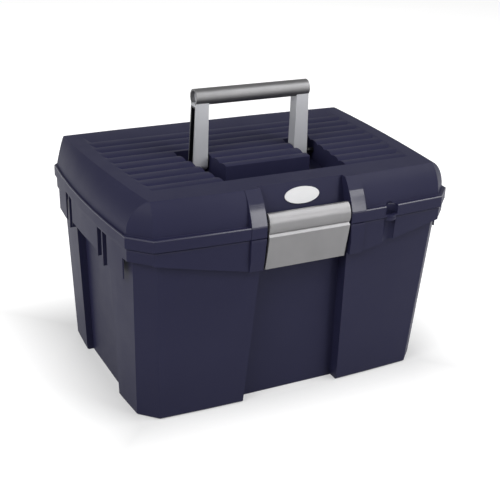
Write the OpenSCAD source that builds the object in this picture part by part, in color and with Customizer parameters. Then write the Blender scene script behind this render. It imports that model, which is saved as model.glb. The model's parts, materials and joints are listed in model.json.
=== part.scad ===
// Grooming box: a moulded tub with a domed, ribbed lid, a folding carry handle,
// a front latch and a lift-out tray. Millimetres, +Z up, the front faces -Y.
// The origin is the middle of the tub's footprint, on the surface it stands on.

/* [Plan and heights] */
// Half width of the lid flange where the corner chamfers start
flange_half_w = 193.5; // [185:0.5:205]
// Half depth of the lid flange where the corner chamfers start
flange_half_d = 138; // [132:0.5:148]
// How far each side of the box bows outwards at its middle
side_bow = 6.5; // [2:0.5:8]
// Length of the 45 degree corner chamfer along each side
corner_chamfer = 22; // [16:1:28]
// Height of the parting line between tub and lid
base_h = 203.5; // [195:0.5:220]
// Height of the lid above the parting line
lid_h = 47; // [45:0.5:52]
// Wall thickness of the tub and the lid
wall = 2.8; // [2.2:0.1:3.2]

/* [Lid dome] */
// Height of the lid flange
flange_h = 13.4; // [11:0.2:15]
// Width of the ledge between the flange and the dome at the sides and the rear
ledge_w = 2.6; // [2:0.1:3.2]
// Width of the ledge between the flange and the dome in front
ledge_front = 5.4; // [4:0.1:6]
// Height of the small bead at the foot of the dome
bead_h = 1; // [0.6:0.1:1.4]
// Inset of the flat top from the flange at the front corners, sideways
top_in_front = 24.5; // [20:0.5:28]
// Inset of the flat top from the flange at the rear corners, sideways
top_in_rear = 11; // [10:0.5:18]
// Inset of the flat top from the flange at the front
front_in = 19.5; // [18:0.5:22]
// Inset of the flat top from the flange at the rear
top_in_depth = 24; // [20:0.5:27]
// Bow of the flat top's edges at the sides and the rear
top_bow = 3.5; // [1:0.5:5]
// Bow of the flat top's front edge
front_bow = 6; // [4:0.5:7]
// Turn of the dome's curve from the flange up to the crease of the top
dome_turn = 66; // [50:1:75]
// Share of a straight slope in the dome's front
front_flat = 0.25; // [0:0.05:1]
// Share of a straight slope in the dome's sides at the rear corners
rear_flat = 0.85; // [0:0.05:1]

/* [Lid ribs] */
// Distance from one rib's crest to the next
rib_pitch = 19.6; // [17:0.2:19.8]
// Number of ribs
rib_count = 9; // [5:2:9]
// Radius of a rib's crest
rib_r = 21; // [17:0.5:26]
// How far the crests lie below the flat top
rib_sink = 0.2; // [0.2:0.1:0.6]
// Half length of the valleys along the front edge of the ribbed field
rib_half_front = 148; // [120:1:150]
// Half length of the valleys along the rear edge of the ribbed field
rib_half_rear = 157; // [130:1:160]
// Bow of the line on which the valleys end
rib_bow = 5; // [0:0.5:6]
// Length over which the valleys rise to the flat top at their ends
rib_run = 7; // [4:0.5:9]
// Length over which the last valley rises to the flat top at the rear
rib_rear_run = 20; // [10:1:25]

/* [Carry handle] */
// Half length of the grip tube
grip_half = 70; // [66:0.5:72]
// Radius of the grip tube
grip_r = 9.2; // [8:0.1:9.6]
// Radius of the hole through the grip tube
grip_hole_r = 7.4; // [5:0.1:7.6]
// Distance from the pivot to the middle of the grip
handle_reach = 76.5; // [72:0.5:78]
// Height of the pivot below the flat top of the lid
pivot_drop = 12; // [11:0.2:13]
// Width of an arm under the grip
arm_w = 15; // [12:0.5:16]
// How much wider an arm is at its foot
arm_flare = 2.5; // [0:0.5:3]
// Depth of an arm from front to rear
arm_d = 14; // [12:0.5:15]
// Thickness of an arm's ribs and web
arm_wall = 2.6; // [2:0.1:3.2]
// How far a spigot's end lies inside the tube's end
spigot_back = 4; // [2:0.5:6]
// Radius of the rounded foot of an arm
foot_r = 7; // [7:0.1:7.6]
// Radius of the two pivot pins
pivot_pin_r = 3; // [2.4:0.1:3.6]

/* [Handle channel] */
// Half width of the block between the arms
block_half = 52; // [50:0.5:53]
// Gap between the foot of an arm and the outer wall of the channel, at its rear end
arm_room = 14; // [8:0.5:16]
// Gap between the end of the folded grip and the outer wall of the channel, at its front
end_room = 3.5; // [2.5:0.5:6]
// Gap between the block and an arm
arm_gap = 2.6; // [1.5:0.1:3]
// Depth of the channel below the flat top
channel_depth = 24; // [23:0.5:25]
// Distance from the pivot to the front face of the block
block_front = 48; // [44:0.5:52]
// Gap between the folded grip and the front wall of the channel
grip_gap = 4; // [2:0.5:5]
// Gap behind the feet of the arms
foot_gap = 9; // [4:0.5:12]

/* [Latch] */
// Half width of the latch
latch_half = 48; // [40:0.5:50]
// Gap between the latch and the shoulders beside it
latch_gap = 2.5; // [1.5:0.1:3]
// Thickness of the latch's wall
latch_wall = 3; // [2.4:0.1:3.2]
// Radius of the rounded bar along the top of the latch
bar_r = 16; // [15.6:0.1:16.6]
// Height of the bar's top above the parting line
bar_top = 24; // [23:0.5:24.5]
// Height of the groove between bar and flap above the parting line
groove_z = 2.8; // [2:0.2:4]
// Length of the flap below the groove
flap_len = 40.8; // [34:0.2:44]
// How far the foot of the flap lies behind its top edge
flap_lean = 7; // [4:0.5:8]
// Height of the latch pin above the parting line
latch_pin_z = 9.5; // [9:0.5:10.5]
// Radius of the latch pin
latch_pin_r = 1.75; // [1.4:0.05:2]
// Depth of the pin's holes in the shoulders
latch_pin_hold = 7.5; // [6:0.5:9]
// Depth of the hook under the catch lip
hook_d = 2; // [1.4:0.1:2.4]
// Height of the catch lip on the tub
lip_h = 5.2; // [4.6:0.2:6]

/* [Lid front] */
// Width of each shoulder beside the latch
shoulder_w = 17.5; // [15:0.5:20]
// Distance of the point that the shoulders' curve bends round behind their front
shoulder_bend_y = 6; // [4:0.5:8]
// Height of the point that the shoulders' curve bends round below the flat top
shoulder_bend_z = 14.5; // [12:0.5:16]
// Distance of the badge panel's top edge behind the corner line of the flange
panel_in = 20.5; // [20:0.5:22]
// Lean of the badge panel behind the latch
panel_lean = 9; // [7:0.5:10]
// Height of the badge panel
panel_h = 28.5; // [27:0.5:30]
// Width of the oval badge
badge_w = 41; // [30:1:50]
// Height of the oval badge
badge_h = 17.6; // [12:0.2:19]
// Thickness of the badge
badge_t = 1.2; // [0.8:0.1:2]

/* [Tub] */
// Inset of the tub's wall from the flange at the rim, sideways
rim_in_w = 8.5; // [8:0.1:9]
// Inset of the tub's wall from the flange at the rim, front and rear
rim_in_d = 5.5; // [5:0.1:6]
// Inset of the tub's wall from the flange at its foot, sideways
foot_in_w = 16.7; // [14:0.1:19]
// Inset of the tub's wall from the flange at its foot, front and rear
foot_in_d = 17.7; // [15:0.1:20]
// Bow of the tub's walls at the foot
foot_bow = 4.5; // [2:0.5:6]
// Thickness of the floor
floor_t = 3; // [2.5:0.1:4]
// Half width of the front and rear recess panels at the rim
recess_half_rim = 51; // [50.5:0.1:53]
// Half width of the front and rear recess panels at the foot
recess_half_foot = 61; // [56:0.5:68]
// Depth of the front recess panel
recess_d_front = 14; // [12:0.5:16]
// Depth of the rear recess panel
recess_d_rear = 7; // [4:0.5:9]
// Half length of the side recess panels
recess_half_side = 55; // [45:1:62]
// Depth of the side recess panels
recess_d_side = 9; // [6:0.5:10]
// Height of the side and rear recess panels
recess_h = 168; // [150:1:170]

/* [Skirt] */
// Inset of the skirt from the lid flange
skirt_in = 2; // [1.4:0.1:2.6]
// Height of the band at the corners
band_h = 13.5; // [8:0.5:15]
// Height of the band at the ends of the long sides
band_end_h = 14.5; // [10:0.5:16]
// Height of the band beside the latch
band_mid_h = 35.5; // [30:0.5:38]
// Height of the strips under the shoulders
strip_h = 36; // [34:0.5:40]
// Height of the upright upper part of the strips
strip_bend = 22; // [14:0.5:28]
// Thickness of the skirt on the short sides
skirt_wall = 2; // [1.6:0.1:2.4]
// Height of the skirt in the middle of the short sides
skirt_h = 30; // [27:0.5:32]
// Height of the skirt towards the ends of the short sides
skirt_end_h = 37; // [34:0.5:39]
// Half length of the skirt on the short sides
skirt_half = 105; // [98:0.5:108]
// Distance from the middle to each bar between two slots in the side skirts
bar_y = 55.6; // [46:0.1:60]
// Width of a bar between two slots
bar_w = 3.2; // [2.4:0.1:4]
// Width of each slot
slot_w = 10.8; // [6:0.1:11]
// Thickness of the fin along the inner slot
fin_w = 1.2; // [1:0.1:2]
// Height of the bars and fins, which reach in to the tub's wall
fin_h = 42; // [40:0.5:45]

/* [Padlock eye] */
// Distance of the padlock eye from the middle of the front
eye_x = 102.5; // [90:0.5:120]
// Radius of the half-round relief in front of the eye
eye_relief_r = 8; // [7:0.1:9]
// Length of the relief in the tub's band below the eye
eye_groove_h = 28; // [24:0.5:30]
// Thickness of each eye tab
eye_tab = 3; // [2.4:0.1:3.4]
// How far the round eye tabs stand out from the flange
eye_proud = 2.4; // [1:0.1:3]
// Length of the slot through the tabs
eye_slot_l = 9; // [8:0.1:10]
// Width of the slot through the tabs
eye_slot_w = 4.6; // [4.4:0.1:5]

/* [Hinges] */
// Distance of each hinge from the middle of the rear
hinge_x = 110; // [80:1:125]
// Distance of the hinge line behind the flange's corner line
hinge_back = 12; // [11.5:0.1:14]
// Radius of the hinge pins
hinge_pin_r = 2; // [1.5:0.1:2.5]
// Radius of the knuckles
knuckle_r = 5.2; // [4.6:0.1:5.4]
// Length of a lid knuckle
lid_knuckle = 19; // [14:0.5:24]
// Length of a tub knuckle
tub_knuckle = 12; // [8:0.5:14]

/* [Tray] */
// Inset of the tray's rim from the lid flange, sideways
tray_in_w = 20; // [19.5:0.5:40]
// Inset of the tray's rim from the lid flange, front and rear
tray_in_d = 26; // [25:0.5:43]
// Depth of the tray
tray_depth = 46; // [35:0.5:55]
// Draft of the tray's walls over their height
tray_draft = 5; // [3:0.5:8]
// Bow of the tray's sides
tray_bow = 2; // [1:0.5:3]
// Thickness of the tray's walls
tray_wall = 2.2; // [1.8:0.1:2.6]
// Half length of the two flanges that carry the tray
tray_flange_half = 46; // [35:1:50]
// Thickness of the two flanges
tray_flange_t = 2.8; // [2:0.1:4]
// Inset of the two flanges' ends from the lid flange
tray_flange_in = 10.6; // [10:0.1:11]
// Half width of the raised grip in the middle of the tray
tray_grip_half = 62; // [50:1:75]
// Height of the raised grip above the tray's rim
tray_grip_h = 26; // [24:0.5:27]
// Half width of the finger hole in the grip
tray_hole_half = 44; // [38:1:48]
// Height of the finger hole in the grip
tray_hole_h = 22; // [20:0.5:24]
// Distance of the cross walls from the middle of the tray
tray_cross_x = 62; // [40:1:90]

/* [Fits] */
// Gap between the closed lid and the tub
seam = 0.3; // [0.2:0.05:0.5]
// Radial running clearance on a pin
run_fit = 0.05; // [0.03:0.01:0.08]
// Radial clearance of a held pin in its hole
hold_fit = 0.02; // [0.01:0.01:0.03]
// Gap between knuckles along a pin
knuckle_gap = 0.4; // [0.3:0.05:0.6]

/* [Hidden] */
$fn = 64;
navy = [0.16, 0.15, 0.24];
silver = [0.68, 0.68, 0.70];
steel = [0.75, 0.76, 0.78];
white = [0.95, 0.95, 0.95];
tray_grey = [0.45, 0.46, 0.50];
// Steps along each bowed edge of an outline, up the dome and down the shoulders
bow_steps = 6;
dome_steps = 8;
bend_steps = 8;
// Overshoot that keeps cuts clear of the faces they pass through
over = 1;
// A length that is larger than the box
far = 400;
// Bevel along the edges of the flange, the skirt and the foot
edge_round = 0.8;
// Loss of a 45 degree chamfer for each millimetre that its outline moves inwards
chamfer_trim = 2 - sqrt(2);
// Chamfer left at the corners of the flat top, and how much smaller the tub's chamfer is
top_chamfer = 1.6;
tub_chamfer_in = 3;
// Slope of the small bead at the foot of the dome
bead_step = 0.4;
// Room beside the rim's lip, and height of the flange's inner step
lip_room = 0.5;
cavity_step = 5;
// Set-back of the shoulders and strips behind the flange's face
front_set = 0.6;
// Bevel inside the tub round the floor
floor_round = 2;
// Gap at each end of a held pin
end_gap = 0.2;

top_z = base_h + lid_h;
flange_top = base_h + flange_h;
base_top = base_h - seam;
flange_front = flange_half_d + side_bow;
shoulder_front = flange_front - front_set;

// Handle: pivot line, folded grip and channel
pivot_z = top_z - pivot_drop;
arm_in = block_half + arm_gap;
arm_out = arm_in + arm_w;
slot_out = arm_out + arm_flare + arm_room;
slot_front = grip_half + end_room;
channel_front = handle_reach + grip_r + grip_gap;
slot_rear = foot_r + foot_gap;
grip_z = pivot_z + handle_reach;
pin_hold = 6;
pin_boss_r = pivot_pin_r + wall;

// Front edge of the flat top in the middle
crease_y = -flange_half_d + front_in - front_bow;

// Ribbed field, set out forwards and backwards from its middle rib
rib_depth = rib_sink + rib_r - sqrt(pow(rib_r, 2) - pow(rib_pitch / 2, 2));
rib_field = rib_pitch * rib_count;
rib_mid_y = -2.5;
rib_front = rib_mid_y - rib_field / 2;
rib_rear = rib_mid_y + rib_field / 2;
rib_axis_z = top_z - rib_sink - rib_r;

// Latch: the bar's centre line and the flap below the groove
pocket_half = latch_half + latch_gap;
bar_proud = 0.7;
bar_front = -flange_front - bar_proud;
round_y = bar_front + bar_r;
round_z = base_h + bar_top / 2 - bar_proud;
latch_pin_in = 7.2;
latch_pin_y = bar_front + latch_pin_in;
latch_axis_z = base_h + latch_pin_z;
groove_h = base_h + groove_z;
groove_front = round_y - sqrt(pow(bar_r, 2) - pow(groove_h - round_z, 2));
flap_foot_z = groove_h - flap_len;
bevel = 2.4;
flap_top = groove_h - bevel;
flap_front = groove_front - bevel;
barrel_r = latch_pin_r + 0.85 * latch_wall;
bar_end_z = base_h + bar_top;
bar_end_y = round_y - sqrt(pow(bar_r, 2) - pow(bar_end_z - round_z, 2));
ear_half = pocket_half + latch_pin_hold + wall;
swing_room = 0.6;
swing_r = norm([bar_end_y - latch_pin_y, bar_end_z - latch_axis_z]) + swing_room;
bar_join = 0.4;
panel_top_y = -flange_half_d + panel_in;
panel_foot_y = panel_top_y - panel_lean;
panel_foot_z = top_z - panel_h;
catch_in = 8;
lip_front = -flange_front + catch_in;
hook_gap = 0.4;
hook_h = 6;
hook_tip = 1.2;
flap_room = 4;
lip_z = base_top - lip_h;

// Padlock eye: the relief's axis lies on the flange's face
eye_y = -flange_half_d - side_bow * (1 - pow(eye_x / (flange_half_w - corner_chamfer), 2));
eye_web = 2.3;
eye_lean = 2;
eye_slot_y = eye_y + eye_web + eye_slot_w / 2;

// Hinge line
hinge_y = flange_half_d + hinge_back;
hinge_z = base_h - seam / 2;
hinge_pin_half = lid_knuckle / 2 + knuckle_gap + tub_knuckle;

// Tray: it hangs on the shelves above the side recess panels
tray_half_w = flange_half_w - tray_in_w;
tray_half_d = flange_half_d - tray_in_d;
shelf_z = recess_h + wall;
tray_rim_z = shelf_z + seam + tray_flange_t;
tray_floor_z = tray_rim_z - tray_depth;

function mix(a, b, t) = a + (b - a) * t;
function bulge(u) = 1 - u * u;
function along(i) = 2 * i / bow_steps - 1;

// Point on a curve from a to c that bends round b
function bend(a, b, c, t) = mix(mix(a, b, t), mix(b, c, t), t);

// Closed plan outline with chamfered corners and bowed edges, counter-clockwise from the front left;
// the front edge may bow further
function outline(front_w, rear_w, front_d, rear_d, c, bow, more_bow = 0) = concat(
  [for (i = [0:bow_steps]) let (u = along(i)) [u * (front_w - c), -front_d - (bow + more_bow) * bulge(u)]],
  [for (i = [0:bow_steps]) let (u = along(i), t = (u + 1) / 2)
    [mix(front_w, rear_w, t) + bow * bulge(u), mix(c - front_d, rear_d - c, t)]],
  [for (i = [0:bow_steps]) let (u = along(i)) [-u * (rear_w - c), rear_d + bow * bulge(u)]],
  [for (i = [0:bow_steps]) let (u = along(i), t = (u + 1) / 2)
    [-mix(rear_w, front_w, t) - bow * bulge(u), mix(rear_d - c, c - front_d, t)]]);

// The flange's outline moved inwards
function flange_ring(inset) = outline(flange_half_w - inset, flange_half_w - inset,
  flange_half_d - inset, flange_half_d - inset, corner_chamfer - chamfer_trim * inset, side_bow);

// The foot of the dome on the flange's top
function ledge_ring() = outline(flange_half_w - ledge_w, flange_half_w - ledge_w,
  flange_half_d - ledge_front, flange_half_d - ledge_w, corner_chamfer - chamfer_trim * ledge_w, side_bow);

// The tub's outline at a height, moved inwards
function tub_ring(z, inset) = let (t = z / base_h,
    w = flange_half_w - mix(foot_in_w, rim_in_w, t) - inset,
    d = flange_half_d - mix(foot_in_d, rim_in_d, t) - inset)
  outline(w, w, d, d, corner_chamfer - tub_chamfer_in - chamfer_trim * inset, mix(foot_bow, side_bow, t));

// Rings of the dome from its foot to the crease of the top, inside the given wall
function dome_rings(foot_z, head_z, foot_in, head_in) = [for (k = [0:dome_steps])
  let (a = dome_turn * k / dome_steps,
    f = (1 - cos(a)) / (1 - cos(dome_turn)),
    h = sin(a) / sin(dome_turn),
    front_f = mix(f, h, front_flat),
    rear_f = mix(f, h, rear_flat),
    foot_w = flange_half_w - foot_in,
    foot_d = flange_half_d - foot_in)
  [mix(foot_z, head_z, h),
    outline(mix(foot_w, flange_half_w - top_in_front - head_in, f),
      mix(foot_w, flange_half_w - top_in_rear - head_in, rear_f),
      mix(foot_d + ledge_w - ledge_front, flange_half_d - front_in - head_in, front_f),
      mix(foot_d, flange_half_d - top_in_depth - head_in, f),
      mix(corner_chamfer - chamfer_trim * foot_in, top_chamfer, f), mix(side_bow, top_bow, f),
      f * (front_bow - top_bow))]];

// Half length of the ribbed field at a share of its depth, at u from -1 in front to 1 at the rear
function rib_half(u, rise) = mix(rib_half_front, rib_half_rear, (u + 1) / 2)
  + rib_bow * bulge(u) + rib_run * rise;

// Outline of the ribbed field, from the foot of the valleys at rise 0 to the flat top at rise 1
function rib_ring(rise) = let (rear = rib_rear + rib_rear_run * rise) concat(
  [for (i = [0:bow_steps]) let (u = along(i)) [rib_half(u, rise), mix(rib_front, rear, (1 + u) / 2)]],
  [for (i = [0:bow_steps]) let (u = along(i)) [-rib_half(-u, rise), mix(rear, rib_front, (1 + u) / 2)]]);

// Solid through a stack of [height, outline] rings of equal length
module loft(rings) {
  n = len(rings[0][1]);
  m = len(rings);
  points = [for (r = rings) for (p = r[1]) [p[0], p[1], r[0]]];
  sides = [for (k = [0:m - 2]) for (i = [0:n - 1])
    let (j = (i + 1) % n, a = k * n + i, b = k * n + j, c = b + n, d = a + n)
    for (t = [[a, d, c], [a, c, b]]) t];
  foot = [for (i = [0:n - 1]) i];
  head = [for (i = [n - 1:-1:0]) (m - 1) * n + i];
  polyhedron(points, concat([foot], sides, [head]));
}

// A profile drawn in Y and Z, carried along X
module along_x(x0, x1) translate([x0, 0, 0]) rotate([90, 0, 90]) linear_extrude(x1 - x0) children();

// A profile drawn in X and Z, carried along Y
module along_y(y0, y1) translate([0, y1, 0]) rotate([90, 0, 0]) linear_extrude(y1 - y0) children();

// A round bar along X
module rod(r, x0, x1, y, z) translate([x0, y, z]) rotate([0, 90, 0]) cylinder(r = r, h = x1 - x0);

module box(lo, hi) translate(lo) cube(hi - lo);

module both_sides() {
  children();
  mirror([1, 0, 0]) children();
}

// Lid

module lid_outside() {
  loft(concat([
    [base_h, flange_ring(edge_round)],
    [base_h + edge_round, flange_ring(0)],
    [flange_top - edge_round, flange_ring(0)],
    [flange_top, flange_ring(edge_round)],
    [flange_top, ledge_ring()]],
    dome_rings(flange_top + bead_h, top_z, ledge_w + bead_step, 0)));
}

module lid_cavity() {
  cavity_in = rim_in_d - lip_room;
  loft(concat([
    [base_h - over, flange_ring(cavity_in)],
    [flange_top - cavity_step, flange_ring(cavity_in)]],
    dome_rings(flange_top, top_z - wall - rib_depth, ledge_w + bead_step + wall, wall)));
  rib_hollows();
}

module rib_rounds(r) {
  for (i = [0:rib_count - 1])
    translate([rib_mid_y + (i - (rib_count - 1) / 2) * rib_pitch, rib_axis_z]) circle(r = r);
}

// The valleys end in slopes at both sides and at the rear
module rib_valleys() {
  foot_z = top_z - rib_depth;
  rise_over = over / rib_depth;
  intersection() {
    loft([[foot_z - over, rib_ring(-rise_over)], [top_z + over, rib_ring(1 + rise_over)]]);
    along_x(-far, far) difference() {
      translate([rib_front, foot_z]) square([rib_rear - rib_front + 2 * rib_rear_run, rib_depth + over]);
      rib_rounds(rib_r);
    }
  }
}

module rib_hollows() {
  low_z = top_z - rib_depth - 2 * wall;
  intersection() {
    translate([0, 0, low_z]) linear_extrude(far) polygon(rib_ring(-wall / rib_run));
    along_x(-far, far) intersection() {
      rib_rounds(rib_r - wall);
      translate([-far, low_z]) square(2 * far);
    }
  }
}

// Channel that takes the folded handle, grown by the wall for the shell below it
module handle_channel(grow) {
  floor_z = top_z - channel_depth - grow;
  front = -channel_front - grow;
  inner = block_half - grow;
  middle = grow - block_front;
  rear = slot_rear + grow;
  translate([0, 0, floor_z]) linear_extrude(top_z + over - floor_z)
    polygon([[-slot_front - grow, front], [slot_front + grow, front], [slot_out + grow, rear], [inner, rear],
      [inner, middle], [-inner, middle], [-inner, rear], [-slot_out - grow, rear]]);
}

module pivot_bosses() {
  both_sides() rod(pin_boss_r, block_half - pin_hold - over, slot_out + pin_hold + over, 0, pivot_z);
}

// Pocket for the latch with the badge panel behind it, and the room that the bar swings in
module latch_pocket(grow) {
  half = pocket_half + grow;
  lean = panel_lean / panel_h;
  along_x(-half, half) {
    polygon([[panel_top_y + grow + lean * over, top_z + over], [panel_foot_y + grow, panel_foot_z],
      [panel_foot_y + grow, base_h - over], [-far, base_h - over], [-far, top_z + over]]);
    translate([latch_pin_y, latch_axis_z]) circle(r = swing_r + grow);
  }
}

module shoulders() {
  head = [crease_y, top_z];
  corner = [-shoulder_front + shoulder_bend_y, top_z - shoulder_bend_z];
  foot = [-shoulder_front, flange_top];
  root = panel_foot_y + 2.3 * wall;
  both_sides() along_x(pocket_half - over, pocket_half + shoulder_w)
    polygon(concat([for (i = [0:bend_steps]) bend(head, corner, foot, i / bend_steps)],
      [[-shoulder_front, base_h + edge_round], [root, base_h + edge_round], [root, top_z - wall]]));
}

module latch_ears() {
  reach = latch_pin_r + wall;
  both_sides() box([pocket_half - over, -far, base_h - over],
    [ear_half, latch_pin_y + reach, latch_axis_z + reach]);
}

module eye_relief(r) translate([eye_x, eye_y, 0]) cylinder(r = r, h = far);

// Round tab under or over the parting line, which the slot goes through
module eye_tab_disc(z) {
  translate([eye_x, eye_y + eye_relief_r - eye_proud, z]) cylinder(r = eye_relief_r, h = eye_tab);
}

module eye_slot() {
  run = (eye_slot_l - eye_slot_w) / 2;
  translate([eye_x, eye_slot_y, base_h - 3 * eye_tab]) linear_extrude(6 * eye_tab) {
    for (s = [-1, 1]) translate([s * run, 0]) circle(d = eye_slot_w);
    square([2 * run, eye_slot_w], center = true);
  }
}

// Half-round relief in the flange that ends in a ball over the ledge
module lid_eye_relief() {
  ball_z = flange_top - eye_relief_r / 4;
  translate([eye_x, eye_y, base_h + eye_tab]) cylinder(r = eye_relief_r, h = ball_z - base_h - eye_tab);
  translate([eye_x, eye_y, ball_z]) sphere(r = eye_relief_r);
}

module hinge_leaf(x0, x1, from_y, low_z, high_z) {
  rod(knuckle_r, x0, x1, hinge_y, hinge_z);
  box([x0, from_y, low_z], [x1, hinge_y, high_z]);
}

module lid_shell() {
  color(navy) difference() {
    union() {
      lid_outside();
      shoulders();
      eye_tab_disc(base_h);
      for (s = [-1, 1]) hinge_leaf(s * hinge_x - lid_knuckle / 2, s * hinge_x + lid_knuckle / 2,
        flange_half_d - over, base_h + end_gap, hinge_z + knuckle_r);
    }
    difference() {
      lid_cavity();
      handle_channel(wall);
      pivot_bosses();
      latch_pocket(wall);
      latch_ears();
      eye_relief(eye_relief_r + wall);
    }
    handle_channel(0);
    rib_valleys();
    latch_pocket(0);
    lid_eye_relief();
    eye_slot();
    both_sides() rod(pivot_pin_r + hold_fit, block_half - pin_hold, slot_out + pin_hold, 0, pivot_z);
    rod(latch_pin_r + hold_fit, -pocket_half - latch_pin_hold, pocket_half + latch_pin_hold,
      latch_pin_y, latch_axis_z);
    rod(hinge_pin_r + run_fit, -far, far, hinge_y, hinge_z);
  }
}

// Oval plate that lies on the leaning panel behind the latch
module lid_badge() {
  steps = 48;
  badge_mid = 0.5;
  color(white) translate([0, mix(panel_top_y, panel_foot_y, badge_mid), mix(top_z, panel_foot_z, badge_mid)])
    rotate([90 - atan2(panel_lean, panel_h), 0, 0]) linear_extrude(badge_t)
      polygon([for (i = [0:steps - 1]) let (a = 360 * i / steps)
        [badge_w / 2 * cos(a), badge_h / 2 * sin(a)]]);
}

// Tub

module tub_outside() {
  loft([[0, tub_ring(0, 2 * edge_round)], [2 * edge_round, tub_ring(2 * edge_round, 0)],
    [base_top, tub_ring(base_top, 0)]]);
}

module tub_cavity() {
  loft([[floor_t, tub_ring(floor_t, wall + floor_round)],
    [floor_t + floor_round, tub_ring(floor_t + floor_round, wall)],
    [base_top + over, tub_ring(base_top + over, wall)]]);
}

// Lip that stands up inside the lid, broken behind the latch and the padlock eye
module rim_lip() {
  lip_up = 5;
  gap_half = ear_half + wall;
  difference() {
    loft([[base_top - over, tub_ring(base_top, edge_round / 2)],
      [base_top + lip_up, tub_ring(base_top, edge_round)]]);
    loft([[base_top - 2 * over, tub_ring(base_top, wall)],
      [base_top + lip_up + over, tub_ring(base_top, wall)]]);
    box([-gap_half, -far, 0], [gap_half, 0, far]);
    eye_relief(eye_relief_r + 2 * wall);
  }
}

// Panels set into the walls: a trapezoid drawn on the wall and pushed in along the wall's slope
module end_recess(sign, depth, height, grow) {
  lean = atan2(foot_in_d - rim_in_d, base_h);
  foot_y = flange_half_d - foot_in_d + foot_bow - depth;
  mirror([0, sign > 0 ? 0 : 1, 0]) translate([0, foot_y - grow, 0]) rotate([-lean, 0, 0]) along_y(0, far)
    polygon([[-recess_half_foot - grow, -4 * wall], [recess_half_foot + grow, -4 * wall],
      [mix(recess_half_foot, recess_half_rim, height / base_h) + grow, height + grow],
      [-mix(recess_half_foot, recess_half_rim, height / base_h) - grow, height + grow]]);
}

module side_recess(grow) {
  lean = atan2(foot_in_w - rim_in_w, base_h);
  foot_x = flange_half_w - foot_in_w + foot_bow - recess_d_side;
  both_sides() translate([foot_x - grow, 0, 0]) rotate([0, lean, 0])
    box([0, -recess_half_side - grow, -4 * wall], [far, recess_half_side + grow, recess_h + grow]);
}

// Band round the rim: its lower edge dips towards the latch, and the short sides carry a deeper skirt
module skirt() {
  end_x = flange_half_w - corner_chamfer;
  mid_x = pocket_half + shoulder_w;
  difference() {
    intersection() {
      loft([[base_top - fin_h - over, flange_ring(skirt_in + edge_round)],
        [base_top - edge_round, flange_ring(skirt_in)],
        [base_top, flange_ring(skirt_in + edge_round)]]);
      union() {
        box([-far, -far, base_top - band_h], [far, far, far]);
        for (s = [-1, 1]) mirror([0, s > 0 ? 1 : 0, 0]) along_y(-far, -flange_half_d / 2)
          polygon([[-end_x, far], [-end_x, base_top - band_end_h], [-mid_x, base_top - band_mid_h],
            [mid_x, base_top - band_mid_h], [end_x, base_top - band_end_h], [end_x, far]]);
        skirt_part(-over, bar_y, skirt_h);
        skirt_part(bar_y, skirt_half, skirt_end_h);
        skirt_fins();
      }
    }
    // Hollow behind the side skirts, open below and at both ends
    difference() {
      intersection() {
        loft([[base_top - 2 * fin_h, flange_ring(skirt_in + skirt_wall)],
          [base_top - wall, flange_ring(skirt_in + skirt_wall)]]);
        both_sides() box([flange_half_w / 2, -skirt_half - corner_chamfer, 0],
          [far, skirt_half + corner_chamfer, base_top - band_h + edge_round]);
      }
      skirt_fins();
    }
    skirt_slots();
  }
}

// Piece of the side skirts between two distances from the middle, at both ends of both sides
module skirt_part(y0, y1, height) {
  both_sides() for (s = [0, 1]) mirror([0, s, 0])
    box([flange_half_w / 2, y0, base_top - height], [far, y1, far]);
}

module skirt_fins() {
  slot_in = bar_y - bar_w / 2 - slot_w;
  skirt_part(slot_in - fin_w, slot_in, fin_h);
  skirt_part(bar_y - bar_w / 2, bar_y + bar_w / 2, fin_h);
}

// Slots on both sides of each bar, open below
module skirt_slots() {
  both_sides() for (s = [0, 1], t = [-1, 1]) mirror([0, s, 0])
    translate([flange_half_w - rim_in_w, bar_y + t * (bar_w + slot_w) / 2 - slot_w / 2, 0])
      cube([far, slot_w, base_top - wall]);
}

module front_strips() {
  root = -flange_half_d + rim_in_d + wall;
  both_sides() along_x(pocket_half, pocket_half + shoulder_w)
    polygon([[-shoulder_front, base_top], [-shoulder_front, base_top - strip_bend],
      [-flange_front + skirt_in + edge_round, base_top - strip_h],
      [root, base_top - strip_h], [root, base_top]]);
}

// Relief in the band below the eye, which leans out so that it ends at the band's lower edge
module eye_groove() {
  translate([eye_x, eye_y, base_top - eye_tab]) rotate([180 - eye_lean, 0, 0])
    cylinder(r = eye_relief_r, h = eye_groove_h);
}

module base_tub() {
  color(navy) difference() {
    union() {
      difference() {
        union() {
          tub_outside();
          skirt();
          front_strips();
          eye_tab_disc(base_top - eye_tab);
        }
        difference() {
          tub_cavity();
          end_recess(-1, recess_d_front, base_top + over, wall);
          end_recess(1, recess_d_rear, recess_h, wall);
          side_recess(wall);
          translate([0, 0, base_top - eye_tab - eye_groove_h - wall]) eye_relief(eye_relief_r + wall);
        }
        end_recess(-1, recess_d_front, lip_z, 0);
        end_recess(1, recess_d_rear, recess_h, 0);
        side_recess(0);
        box([-pocket_half, -far, lip_z - over], [pocket_half, lip_front, far]);
        box([-pocket_half, -far, flap_foot_z - flap_room],
          [pocket_half, -flange_half_d + rim_in_d - over, lip_z]);
      }
      rim_lip();
      for (s = [-1, 1], t = [-1, 1])
        tub_hinge_leaf(s * hinge_x + t * (lid_knuckle + tub_knuckle + 2 * knuckle_gap) / 2);
    }
    eye_groove();
    eye_slot();
    rod(hinge_pin_r + hold_fit, -far, far, hinge_y, hinge_z);
  }
}

module tub_hinge_leaf(x) hinge_leaf(x - tub_knuckle / 2, x + tub_knuckle / 2,
  flange_half_d - skirt_in - wall, hinge_z - knuckle_r, base_top);

// Pins

module hinge_pin(x) color(steel) rod(hinge_pin_r, x - hinge_pin_half, x + hinge_pin_half, hinge_y, hinge_z);

module handle_pin() {
  color(steel) rod(pivot_pin_r, block_half - pin_hold + end_gap, slot_out + pin_hold - end_gap, 0, pivot_z);
}

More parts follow.
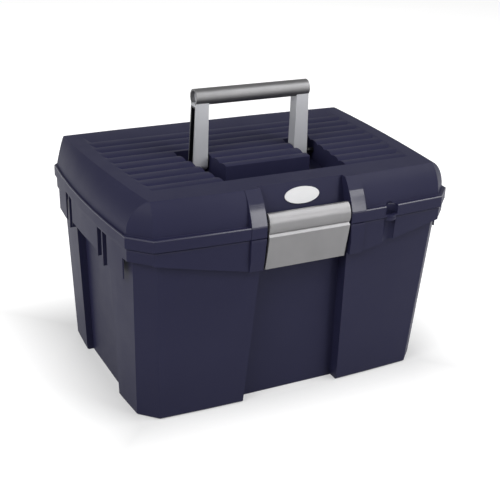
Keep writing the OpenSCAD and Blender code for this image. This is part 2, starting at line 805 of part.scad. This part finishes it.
module latch_pin() {
  reach = pocket_half + latch_pin_hold - end_gap;
  color(steel) rod(latch_pin_r, -reach, reach, latch_pin_y, latch_axis_z);
}

// Handle, standing upright: a tube on two channel-section arms with spigots in its ends

module arm_side(inset) {
  translate([0, pivot_z]) circle(r = foot_r - inset);
  translate([-arm_d / 2 + inset, pivot_z]) square([arm_d - 2 * inset, handle_reach]);
}

// Neck of an arm's spigot, which fills the slot under the tube's end
module spigot_neck(x_end, fit) {
  half = arm_d / 2 - arm_wall + fit;
  box([arm_in - fit, -half, grip_z - grip_r - arm_wall], [x_end, half, grip_z - grip_hole_r + over]);
}

module handle_grip() {
  color(silver) difference() {
    rod(grip_r, -grip_half, grip_half, 0, grip_z);
    rod(grip_hole_r, -far, far, 0, grip_z);
    both_sides() spigot_neck(grip_half + over, hold_fit);
  }
}

module handle_arm() {
  color(silver) difference() {
    union() {
      difference() {
        intersection() {
          along_x(arm_in, arm_out + arm_flare) arm_side(0);
          along_y(-arm_d, arm_d) polygon([[arm_in, 0], [arm_out + arm_flare, 0],
            [arm_out + arm_flare, pivot_z], [arm_out, grip_z], [arm_in, grip_z]]);
        }
        along_x(arm_in + arm_wall, far) difference() {
          arm_side(arm_wall);
          translate([-far, grip_z - grip_r - arm_wall]) square(2 * far);
        }
        rod(grip_r + hold_fit, 0, far, 0, grip_z);
      }
      rod(pivot_pin_r + arm_wall, arm_in, arm_out + arm_flare, 0, pivot_z);
      rod(grip_hole_r - hold_fit, arm_in, arm_out - spigot_back, 0, grip_z);
      spigot_neck(arm_out, 0);
    }
    rod(pivot_pin_r + run_fit, 0, far, 0, pivot_z);
  }
}

// Latch: a rounded bar on its pin, and the flap with the hook below it

function flap_inner(z) = latch_wall
  + mix(flap_front + flap_lean, flap_front + 1, (z - flap_foot_z) / (flap_top - flap_foot_z));

module latch_profile() {
  // Bar
  difference() {
    intersection() {
      translate([round_y, round_z]) circle(r = bar_r);
      translate([bar_front - over, groove_h - bar_join])
        square([bar_end_y + latch_wall - bar_front + over, bar_end_z - groove_h + bar_join]);
    }
    translate([round_y, round_z]) circle(r = bar_r - latch_wall);
  }
  // Web to the barrel round the pin
  translate([latch_pin_y, latch_axis_z]) circle(r = barrel_r);
  translate([bar_front + latch_wall / 2, latch_axis_z - barrel_r / 2])
    square([latch_pin_y - bar_front - latch_wall / 2, barrel_r]);
  // Flap with the hook on its inner face
  hook_top = lip_z - hook_gap;
  hook_foot = hook_top - hook_h;
  polygon([[groove_front, groove_h], [flap_front, flap_top], [flap_front + flap_lean, flap_foot_z],
    [flap_front + flap_lean + latch_wall, flap_foot_z], [flap_inner(hook_foot), hook_foot],
    [lip_front + hook_d, hook_top - hook_tip], [lip_front + hook_d, hook_top],
    [flap_inner(hook_top), hook_top],
    [flap_inner(flap_top), flap_top], [groove_front + latch_wall, groove_h]]);
}

module latch() {
  color(silver) difference() {
    along_x(-latch_half, latch_half) latch_profile();
    rod(latch_pin_r + run_fit, -far, far, latch_pin_y, latch_axis_z);
  }
}

// Tray

function tray_ring(z, inset) = let (draft = tray_draft * (tray_rim_z - z) / tray_depth,
    w = tray_half_w - draft - inset, d = tray_half_d - draft - inset)
  outline(w, w, d, d, corner_chamfer - chamfer_trim * inset, tray_bow);

module tray_grip() {
  base_z = tray_floor_z + tray_wall / 2;
  grip_bar = 5;
  hole_mid = tray_rim_z + tray_grip_h - tray_hole_h / 2 - grip_bar;
  run = tray_hole_half - tray_hole_h / 2;
  half = tray_half_w - tray_draft - tray_wall / 2;
  foot = tray_grip_half + tray_grip_h / 2;
  along_y(-tray_wall, tray_wall) difference() {
    union() {
      translate([-half, base_z]) square([2 * half, tray_rim_z - base_z - tray_wall]);
      polygon([[-foot, base_z], [foot, base_z], [foot, tray_rim_z - tray_wall],
        [tray_grip_half, tray_rim_z + tray_grip_h], [-tray_grip_half, tray_rim_z + tray_grip_h],
        [-foot, tray_rim_z - tray_wall]]);
    }
    for (s = [-1, 1]) translate([s * run, hole_mid]) circle(d = tray_hole_h);
    translate([-run, hole_mid - tray_hole_h / 2]) square([2 * run, tray_hole_h]);
  }
}

module lift_out_tray() {
  color(tray_grey) {
    difference() {
      union() {
        loft([[tray_floor_z, tray_ring(tray_floor_z, 0)], [tray_rim_z, tray_ring(tray_rim_z, 0)]]);
        both_sides() box([tray_half_w - tray_draft, -tray_flange_half, shelf_z + seam],
          [flange_half_w - tray_flange_in, tray_flange_half, tray_rim_z]);
      }
      loft([[tray_floor_z + tray_wall, tray_ring(tray_floor_z + tray_wall, tray_wall)],
        [tray_rim_z + over, tray_ring(tray_rim_z + over, tray_wall)]]);
    }
    tray_grip();
    both_sides() box([tray_cross_x - tray_wall / 2, 0, tray_floor_z + tray_wall / 2],
      [tray_cross_x + tray_wall / 2, tray_half_d - tray_draft - tray_wall / 2, tray_rim_z - 2 * tray_wall]);
  }
}

base_tub();
lid_shell();
lid_badge();
hinge_pin(-hinge_x);  // hinge_pin_left
hinge_pin(hinge_x);  // hinge_pin_right
handle_grip();
mirror([1, 0, 0]) handle_arm();  // handle_arm_left
handle_arm();  // handle_arm_right
mirror([1, 0, 0]) handle_pin();  // handle_pin_left
handle_pin();  // handle_pin_right
latch();
latch_pin();
lift_out_tray();
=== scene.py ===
# %% [markdown]
# # A horse grooming box
# The box is a moulded tub with a domed, ribbed lid, a folding carry handle, a front latch and a tray.
# Its construction comes in as a fixed frame of named parts, and this lesson gives those parts their looks:
# rounded edges, grained plastic, silver fittings and soft studio light. All lengths are in metres.

# %% Load the frame
import json
import math

import bpy
from mathutils import Matrix, Vector

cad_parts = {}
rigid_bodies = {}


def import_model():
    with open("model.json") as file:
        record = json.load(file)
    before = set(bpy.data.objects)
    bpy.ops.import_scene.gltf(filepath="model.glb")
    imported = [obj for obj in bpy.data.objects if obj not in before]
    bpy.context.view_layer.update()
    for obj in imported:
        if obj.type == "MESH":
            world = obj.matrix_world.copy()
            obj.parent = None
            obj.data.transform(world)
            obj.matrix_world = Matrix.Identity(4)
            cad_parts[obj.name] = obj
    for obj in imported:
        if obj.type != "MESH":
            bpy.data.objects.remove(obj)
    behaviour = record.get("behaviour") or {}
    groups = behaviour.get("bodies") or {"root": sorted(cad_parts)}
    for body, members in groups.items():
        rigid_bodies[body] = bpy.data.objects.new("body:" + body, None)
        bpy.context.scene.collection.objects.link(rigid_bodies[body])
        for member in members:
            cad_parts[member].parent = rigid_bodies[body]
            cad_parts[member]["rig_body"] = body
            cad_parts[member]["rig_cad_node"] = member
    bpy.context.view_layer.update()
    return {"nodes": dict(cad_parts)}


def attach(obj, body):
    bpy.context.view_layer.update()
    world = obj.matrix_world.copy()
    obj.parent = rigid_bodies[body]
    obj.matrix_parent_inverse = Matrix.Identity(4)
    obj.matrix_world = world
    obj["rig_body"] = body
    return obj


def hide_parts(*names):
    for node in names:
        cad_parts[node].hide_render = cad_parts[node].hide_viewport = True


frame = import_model()
nodes = frame["nodes"]
print("nodes:", sorted(nodes))

# %% [markdown]
# ## The shader kit
# A finish is a tree of small nodes that feed one shader. They could be added and linked one by one, but that
# fills pages. Here a wire stands for one output in the tree, and arithmetic on wires adds Math nodes, so that
# a finish can be written as a short expression.

# %% Wires
MIX_COLOURS = (6, 7)  # the two colour inputs of a Mix node
MIX_RESULT = 2  # its colour output


class Wire:
    """One output of a node tree; arithmetic on it adds Math nodes."""

    def __init__(self, tree, socket):
        self.tree, self.socket = tree, socket

    def node(self, kind, settings=None, sockets=None, out=0):
        """Adds a node: its settings first, then the values or links of its sockets."""
        made = self.tree.nodes.new(kind)
        for key, value in (settings or {}).items():
            setattr(made, key, value)
        for key, value in (sockets or {}).items():
            if isinstance(value, Wire):
                value.feed(made, key)
            else:
                made.inputs[key].default_value = value
        return Wire(self.tree, made.outputs[out])

    def feed(self, node, socket):
        """Links this wire to a socket of a node."""
        self.tree.links.new(self.socket, node.inputs[socket])

    def beside(self, out):
        """Another output of the node that this wire comes from."""
        return Wire(self.tree, self.socket.node.outputs[out])

    def maths(self, operation, first, second=0.0):
        return self.node("ShaderNodeMath", {"operation": operation}, {0: first, 1: second})

    def __add__(self, other):
        return self.maths("ADD", self, other)

    def __sub__(self, other):
        return self.maths("SUBTRACT", self, other)

    def __rsub__(self, other):
        return self.maths("SUBTRACT", other, self)

    def __mul__(self, other):
        return self.maths("MULTIPLY", self, other)

    __radd__ = __add__
    __rmul__ = __mul__

    def size(self):
        """The value without its sign."""
        return self.maths("ABSOLUTE", self)

    def most(self, other):
        """The greater of two values."""
        return self.maths("MAXIMUM", self, other)

    def rise(self, low, high):
        """The share of the way from low to high, kept within 0 and 1."""
        return self.node("ShaderNodeMapRange", None, {"Value": self, "From Min": low, "From Max": high})

    def band(self, low, high, edge):
        """1 between low and high, 0 outside, with soft edges."""
        return self.rise(low - edge, low + edge) * (1 - self.rise(high - edge, high + edge))

    def tint(self, dark, light):
        """The first colour where this wire is 0 and the second where it is 1."""
        sockets = {0: self}
        for key, colour in zip(MIX_COLOURS, (dark, light)):
            sockets[key] = colour if isinstance(colour, Wire) else (*colour, 1.0)
        return self.node("ShaderNodeMix", {"data_type": "RGBA"}, sockets, MIX_RESULT)

    def noise(self, scale, detail):
        """A cloudy pattern at this wire's coordinates."""
        return self.node("ShaderNodeTexNoise", None, {"Vector": self, "Scale": scale, "Detail": detail})

    def axes(self):
        """The three coordinates of a vector wire."""
        split = self.node("ShaderNodeSeparateXYZ", None, {0: self})
        return [split.beside(axis) for axis in "XYZ"]


# %% [markdown]
# ## What every finish shares
# Real plastic is never one flat colour: it has a soft mottle, an uneven gloss and the fine grain of a
# spark-eroded mould. A picture could hold all three, but noise that follows the object's own coordinates
# needs no picture, has no seams and stays in place when the part moves. Each of the three gets a helper.

# %% Mottle, gloss and grain
CLOUDY, FINE = 3.0, 2.0  # the detail of broad and of fine noise
MOTTLE_RANGE = (0.3, 0.7)  # the part of the noise that goes from the dark to the light colour


def start(name, **fixed):
    """A new material: its shader with fixed values, and a wire with the object's coordinates."""
    material = bpy.data.materials.new(name)
    material.use_nodes = True
    tree = material.node_tree
    shader = next(n for n in tree.nodes if n.type == "BSDF_PRINCIPLED")
    for key, value in fixed.items():
        shader.inputs[key.replace("_", " ")].default_value = value
    at = Wire(tree, shader.outputs[0]).node("ShaderNodeTexCoord", out="Object")
    return material, shader, at


def mottle(at, dark, light, scale):
    """A colour that drifts between two near ones."""
    return at.noise(scale, CLOUDY).rise(*MOTTLE_RANGE).tint(dark, light)


def gloss(shader, at, scale, detail, rough, spread):
    """A roughness that drifts about its mean."""
    (at.noise(scale, detail) * spread + (rough - spread / 2)).feed(shader, "Roughness")


def grain(shader, at, scale, depth, strength):
    """The fine texture that the mould leaves."""
    height = at.noise(scale, FINE)
    bump = at.node("ShaderNodeBump", None, {"Strength": strength, "Distance": depth, "Height": height})
    bump.feed(shader, "Normal")


# %% [markdown]
# ## Navy plastic
# The shells are navy polypropylene. Most of the mould is finely grained, so the plastic looks matt, but the
# shoulders beside the latch and the rim of the flange are polished and shine. Those faces could be given a
# second material. A mask is simpler: bands of the part's own coordinates turn on a clear coat where the mould
# was polished, and the border needs no extra edges.

# %% Navy plastic
NAVY_DARK = (0.0166, 0.0166, 0.0438)
NAVY_LIGHT = (0.0191, 0.0191, 0.0489)


def navy_plastic(name, polished):
    """Grained navy plastic that shines where polished(at) says."""
    material, shader, at = start(name, Specular_IOR_Level=0.14, Coat_Roughness=0.16, Coat_IOR=1.6)
    mottle(at, NAVY_DARK, NAVY_LIGHT, scale=9.0).feed(shader, "Base Color")
    gloss(shader, at, scale=40.0, detail=CLOUDY, rough=0.5, spread=0.12)
    polished(at).feed(shader, "Coat Weight")
    grain(shader, at, scale=1400.0, depth=0.00012, strength=0.25)
    return material


# %% Polished areas
SHOULDER_X = (0.0507, 0.0679)
SHOULDER_Z = (0.2172, 0.2380)
SHOULDER_BACK_Y = (-0.1245, -0.1235)
SHOULDER_SHINE = 0.56
RIM_Z = (0.2155, 0.2168)
RIM_SHINE = 0.6
TUB_EDGE_Z = (0.2005, 0.2033)
TUB_EDGE_SHINE = 0.08


def lid_polish(at):
    """The fronts of the two shoulders, and the upper rim of the flange."""
    x, y, z = at.axes()
    shoulders = x.size().band(*SHOULDER_X, edge=0.0001) * z.band(*SHOULDER_Z, edge=0.0004)
    front = 1 - y.rise(*SHOULDER_BACK_Y)
    rim = z.band(*RIM_Z, edge=0.0002)
    return (shoulders * front * SHOULDER_SHINE).most(rim * RIM_SHINE)


def tub_polish(at):
    """The narrow edge under the rim."""
    _, _, z = at.axes()
    return z.band(*TUB_EDGE_Z, edge=0.0003) * TUB_EDGE_SHINE


lid_navy = navy_plastic("lid_navy", lid_polish)
tub_navy = navy_plastic("tub_navy", tub_polish)
print("shell finishes:", lid_navy.name, tub_navy.name)

# %% [markdown]
# ## Silver fittings
# The handle and the latch hold silver pigment: tiny flakes that turn the light like rough metal. A full metal
# would look like chrome, so each of these finishes is only part metal, the grip more than the arms and the
# latch. The arms are channels that are open outwards, and a mask paints the inside of each channel near
# black: painted shade that stands in for the shadow deep in the channel.

# %% Silver fittings
# painted shade: a near-black colour that stands in for the shadow deep inside an arm's channel
HOLLOW_PAINTED_SHADE = (0.004, 0.004, 0.007)
HOLLOW_X = (0.0572, 0.0576)
HOLLOW_Y = (-0.0046, 0.0066)
HOLLOW_TOP_Z = (0.3048, 0.3052)


def arm_hollow_painted_shade(at):
    """The inside of an arm's channel, where painted shade goes."""
    x, y, z = at.axes()
    return x.size().rise(*HOLLOW_X) * y.band(*HOLLOW_Y, edge=0.0002) * (1 - z.rise(*HOLLOW_TOP_Z))


def silver(name, dark, light, metal, rough, painted_shade=None):
    """Silver-pigmented plastic, darkened to painted shade where the given mask says."""
    material, shader, at = start(name, Metallic=metal)
    colour = mottle(at, dark, light, scale=25.0)
    if painted_shade:
        # painted shade: the mask turns the inside of the channel near black
        colour = painted_shade(at).tint(colour, HOLLOW_PAINTED_SHADE)
    colour.feed(shader, "Base Color")
    gloss(shader, at, scale=900.0, detail=FINE, rough=rough, spread=0.14)
    grain(shader, at, scale=1600.0, depth=0.0001, strength=0.18)
    return material


grip_silver = silver("grip_silver", (0.17, 0.169, 0.173), (0.195, 0.194, 0.198), metal=0.8, rough=0.44)
arm_silver = silver("arm_silver", (0.48, 0.485, 0.51), (0.53, 0.535, 0.565), metal=0.3, rough=0.42,
                    painted_shade=arm_hollow_painted_shade)
latch_silver = silver("latch_silver", (0.215, 0.212, 0.218), (0.245, 0.241, 0.248), metal=0.25, rough=0.32)
print("silver finishes:", grip_silver.name, arm_silver.name, latch_silver.name)

# %% [markdown]
# ## Badge, pins and tray
# The badge is a bare white plate, the pins are steel made almost black, as painted shade for the dark slots
# that the handle's pins sit in, and the tray is plain grey plastic. Each could have a material built from
# scratch, but they differ only in colour, gloss, metal and grain, so one function makes all three.

# %% Badge, pins and tray
def plain(name, dark, light, rough, metal, grain_strength):
    """A finish with no mask: one mottled colour."""
    material, shader, at = start(name, Metallic=metal)
    mottle(at, dark, light, scale=14.0).feed(shader, "Base Color")
    gloss(shader, at, scale=60.0, detail=CLOUDY, rough=rough, spread=0.1)
    grain(shader, at, scale=1200.0, depth=0.0001, strength=grain_strength)
    return material


badge_white = plain("badge_white", (0.64, 0.64, 0.65), (0.68, 0.68, 0.69),
                    rough=0.30, metal=0.0, grain_strength=0.02)
# painted shade: the pins' near-black steel stands in for the shadow in the handle's slots
pin_steel_painted_shade = plain("pin_steel_painted_shade", (0.030, 0.030, 0.033), (0.045, 0.045, 0.048),
                  rough=0.38, metal=1.0, grain_strength=0.05)
tray_grey = plain("tray_grey", (0.15, 0.15, 0.17), (0.18, 0.18, 0.20),
                  rough=0.50, metal=0.0, grain_strength=0.2)
print("plain finishes:", badge_white.name, pin_steel_painted_shade.name, tray_grey.name)

# %% [markdown]
# ## Rounding a shell
# A moulded part has no knife-sharp edges: the mould leaves a small radius on each, and that radius is what
# catches the light. The edges could be rounded by hand, but the Bevel modifier does it in one go on a welded
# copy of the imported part. Flat areas are dissolved first, so that the bevel meets whole faces and no slivers.

# %% Copy and round
WELD = 2e-6
FLAT_ANGLE = 0.7
ROUND_STEPS = 2


def only(obj):
    """Makes obj the one selected and active object."""
    bpy.ops.object.select_all(action="DESELECT")
    obj.select_set(True)
    bpy.context.view_layer.objects.active = obj


def copy_of(node, name):
    """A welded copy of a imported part, with each flat area made one face."""
    only(nodes[node])
    bpy.ops.object.duplicate()
    piece = bpy.context.object
    piece.name = name
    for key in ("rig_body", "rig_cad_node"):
        del piece[key]
    piece.parent = None
    bpy.ops.object.mode_set(mode="EDIT")
    bpy.ops.mesh.select_all(action="SELECT")
    bpy.ops.mesh.remove_doubles(threshold=WELD)
    bpy.ops.mesh.dissolve_limited(angle_limit=math.radians(FLAT_ANGLE))
    bpy.ops.mesh.normals_make_consistent(inside=False)
    bpy.ops.object.mode_set(mode="OBJECT")
    return piece


def soften(piece, radius, angle):
    """Rounds the edges that are sharper than the angle."""
    only(piece)
    bevel = piece.modifiers.new("round", "BEVEL")
    bevel.width = radius
    bevel.segments = ROUND_STEPS
    bevel.limit_method = "ANGLE"
    bevel.angle_limit = math.radians(angle)
    bevel.miter_outer = "MITER_ARC"
    bpy.ops.object.modifier_apply(modifier="round")


# %% Shade, seat and paint
def smooth(piece, angle):
    """Shades gentle angles smooth and keeps the creases crisp."""
    only(piece)
    bpy.ops.object.shade_smooth_by_angle(angle=math.radians(angle))
    piece.modifiers.new("even", "WEIGHTED_NORMAL").keep_sharp = True
    bpy.ops.object.modifier_apply(modifier="even")


def seat(piece, node, body):
    """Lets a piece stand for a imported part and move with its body."""
    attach(piece, body)
    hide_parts(node)
    print(piece.name, "faces:", len(piece.data.polygons))


def paint(piece, material):
    """Gives a piece one material."""
    piece.data.materials.clear()
    piece.data.materials.append(material)


# %% [markdown]
# ## The shells
# The tub's walls bow slightly, so they are shaded smooth, while the borders of the recess panels stay crisp.
# The lid has a crease all round its flat top that must not be shaded away. The crease could be marked edge by
# edge, but a lower limit for the angle keeps it too.

# %% Shells
EDGE_RADIUS = 0.0006
SHARP_ANGLE = 30
TUB_CREASE, LID_CREASE = 30, 14

for node, name, body, crease, material in (("base_tub", "tub", "base", TUB_CREASE, tub_navy),
                                           ("lid_shell", "lid", "lid", LID_CREASE, lid_navy)):
    shell = copy_of(node, name)
    soften(shell, EDGE_RADIUS, SHARP_ANGLE)
    smooth(shell, crease)
    seat(shell, node, body)
    paint(shell, material)

# %% [markdown]
# ## The fittings
# The handle, the latch, the badge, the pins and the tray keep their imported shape. A rounded copy could be
# made of each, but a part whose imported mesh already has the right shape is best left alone: it only gets its
# finish.

# %% Fittings
FINISHES = {
    "lid_badge": badge_white,
    "handle_grip": grip_silver,
    "handle_arm_left": arm_silver,
    "handle_arm_right": arm_silver,
    "latch": latch_silver,
    "lift_out_tray": tray_grey,
    "hinge_pin_left": pin_steel_painted_shade,
    "hinge_pin_right": pin_steel_painted_shade,
    "handle_pin_left": pin_steel_painted_shade,
    "handle_pin_right": pin_steel_painted_shade,
    "latch_pin": pin_steel_painted_shade,
}
for name, material in FINISHES.items():
    paint(nodes[name], material)
    print(name, "finish:", material.name)

# %% [markdown]
# ## The floor
# The box stands on white paper that runs into the white behind it. More light could burn the paper out, but
# it would bleach the box as well. So the paper is grey under the lamps, and a glow that only the camera and
# the reflections see makes it white. The glow is lower near the box, so that the shadow shows, and that lower
# glow also darkens the paper all round the foot as painted shade.

# %% Floor paper
BLACK, WHITE = (0, 0, 0), (1, 1, 1)
PAPER_DARK, PAPER_LIGHT = (0.50, 0.50, 0.50), (0.52, 0.52, 0.52)
FOOT_X, FOOT_Y = 0.18, 0.125  # about half the size of the box's foot
GLOW_NEAR, GLOW_MORE, GLOW_REACH = 0.35, 0.5, 0.1  # the glow at the foot, what is added, and how far out


def rays(at):
    """Two wires: 1 for rays from the camera, and 1 for rays from a gloss or through glass."""
    seen = at.node("ShaderNodeLightPath", out="Is Camera Ray")
    return seen, seen.beside("Is Glossy Ray").most(seen.beside("Is Transmission Ray"))


def floor_paper():
    """Grey paper that glows white for the camera and for reflections."""
    material, shader, at = start("floor_paper", Roughness=0.9, Specular_IOR_Level=0.1, Emission_Strength=1.0)
    at.noise(scale=3.0, detail=FINE).tint(PAPER_DARK, PAPER_LIGHT).feed(shader, "Base Color")
    x, y, _ = at.axes()
    gap = (x.size() - FOOT_X).most(y.size() - FOOT_Y)
    seen, mirrored = rays(at)
    # painted shade: the glow is weaker within GLOW_REACH of the foot, which darkens the paper there
    glow = seen.most(mirrored) * (gap.rise(0.0, GLOW_REACH) * GLOW_MORE + GLOW_NEAR)
    glow.tint(BLACK, WHITE).feed(shader, "Emission Color")
    return material


# %% Floor
FLOOR_WIDTH = 12
FLOOR_Z = -0.0005

bpy.ops.mesh.primitive_plane_add(size=FLOOR_WIDTH, location=(0, 0, FLOOR_Z))
floor = bpy.context.object
floor.name = "floor"
paint(floor, floor_paper())
print("floor width:", FLOOR_WIDTH)

# %% [markdown]
# ## The lamps
# The photo has the soft light of a studio. Small lamps would give hard shadows and sharp glints, so each lamp
# is a large rectangle, a soft box. Two come from above, to the right of the front and off its left corner. A
# low strip on the right shines in the polished shoulders and the grip, one lamp lights the left side, and one
# behind brightens the top. Reflections leave out the lamp behind, because it would gleam on every rib.

# %% Lamps
AIM = Vector((0, 0, 0.15))


def soft_box(name, place, wide, high, power):
    """A rectangular lamp that faces the box."""
    bpy.ops.object.light_add(type="AREA", location=place)
    lamp = bpy.context.object
    lamp.name = name
    lamp.data.shape = "RECTANGLE"
    lamp.data.size = wide
    lamp.data.size_y = high
    lamp.data.energy = power
    lamp.rotation_euler = (AIM - Vector(place)).to_track_quat("-Z", "Y").to_euler()
    print(name, "radiance:", round(power / (math.pi * wide * high), 2))
    return lamp


soft_box("left", (-1.76, -0.15, 1.09), wide=1.4, high=1.2, power=10.5)
soft_box("front", (1.13, -0.89, 1.54), wide=1.2, high=1.2, power=24)
soft_box("strip", (0.88, -1.69, 0.77), wide=0.4, high=0.9, power=8.5)
soft_box("corner", (-1.30, -0.81, 1.44), wide=1.0, high=1.0, power=18)
back = soft_box("back", (0.41, 1.93, 1.11), wide=1.6, high=1.0, power=10)
back.visible_glossy = False

# %% [markdown]
# ## The surroundings
# A white studio shows in everything that shines. The world could be one even white, but then light from all
# sides would fill the shadows. Here a ray from the camera sees white, a reflection sees walls that are white
# at the horizon and greyer higher up, and every other ray gets only a faint light.

# %% World
WALL_TOP = 0.1  # the height in the view direction above which the walls are greyest
WALL_LOSS = 0.55  # how much of the white is gone there
ROOM_LIGHT = 0.05  # the strength for every other ray

world = bpy.data.worlds.new("studio")
bpy.context.scene.world = world
world.use_nodes = True
backdrop = next(n for n in world.node_tree.nodes if n.type == "BACKGROUND")
backdrop.inputs["Color"].default_value = (*WHITE, 1.0)
view = Wire(world.node_tree, backdrop.outputs[0]).node("ShaderNodeTexCoord", out="Generated")
_, _, height = view.axes()
wall = 1 - height.rise(0.0, WALL_TOP) * WALL_LOSS
seen, mirrored = rays(view)
seen.most(mirrored * wall + (1 - mirrored) * ROOM_LIGHT).feed(backdrop, "Strength")
print("world nodes:", len(world.node_tree.nodes))

# %% [markdown]
# ## The camera
# It stands to the left of the front and looks down, as in the photo. It could be moved by hand until the
# picture fits, but the straight edges of the box tell its angles, its distance and its focal length, so these
# are set as numbers. The view transform is Standard, which shows a colour about as it is written.

# %% Camera place
TURN, TILT, ROLL = (math.radians(angle) for angle in (-27.60, 23.92, 2.22))
LOOK_AT = Vector((0, 0, 0.1183))
DISTANCE = 1.1847

bpy.ops.object.camera_add()
camera = bpy.context.object
camera.name = "camera"
bpy.context.scene.camera = camera
away = Vector((math.sin(TURN) * math.cos(TILT), -math.cos(TURN) * math.cos(TILT), math.sin(TILT)))
side = (-away).cross(Vector((0, 0, 1))).normalized()
over = side.cross(-away)
right = side * math.cos(ROLL) + over * math.sin(ROLL)
up = over * math.cos(ROLL) - side * math.sin(ROLL)
place = LOOK_AT + away * DISTANCE
camera.matrix_world = Matrix((
    (right.x, up.x, away.x, place.x), (right.y, up.y, away.y, place.y),
    (right.z, up.z, away.z, place.z), (0, 0, 0, 1)))
print("camera at:", [round(v, 3) for v in place])

# %% Lens and view
FOCAL_PIXELS, PHOTO_PIXELS = 997, 500  # the focal length and the width of the photo, in its pixels
SENSOR_MM = 36
SHIFT_X, SHIFT_Y = 0.010, 0.008
FAR = 50

camera.data.sensor_width = SENSOR_MM
camera.data.lens = FOCAL_PIXELS / PHOTO_PIXELS * SENSOR_MM
camera.data.shift_x = SHIFT_X
camera.data.shift_y = SHIFT_Y
camera.data.clip_end = FAR
bpy.context.scene.view_settings.view_transform = "Standard"
print("lens in mm:", round(camera.data.lens, 1))
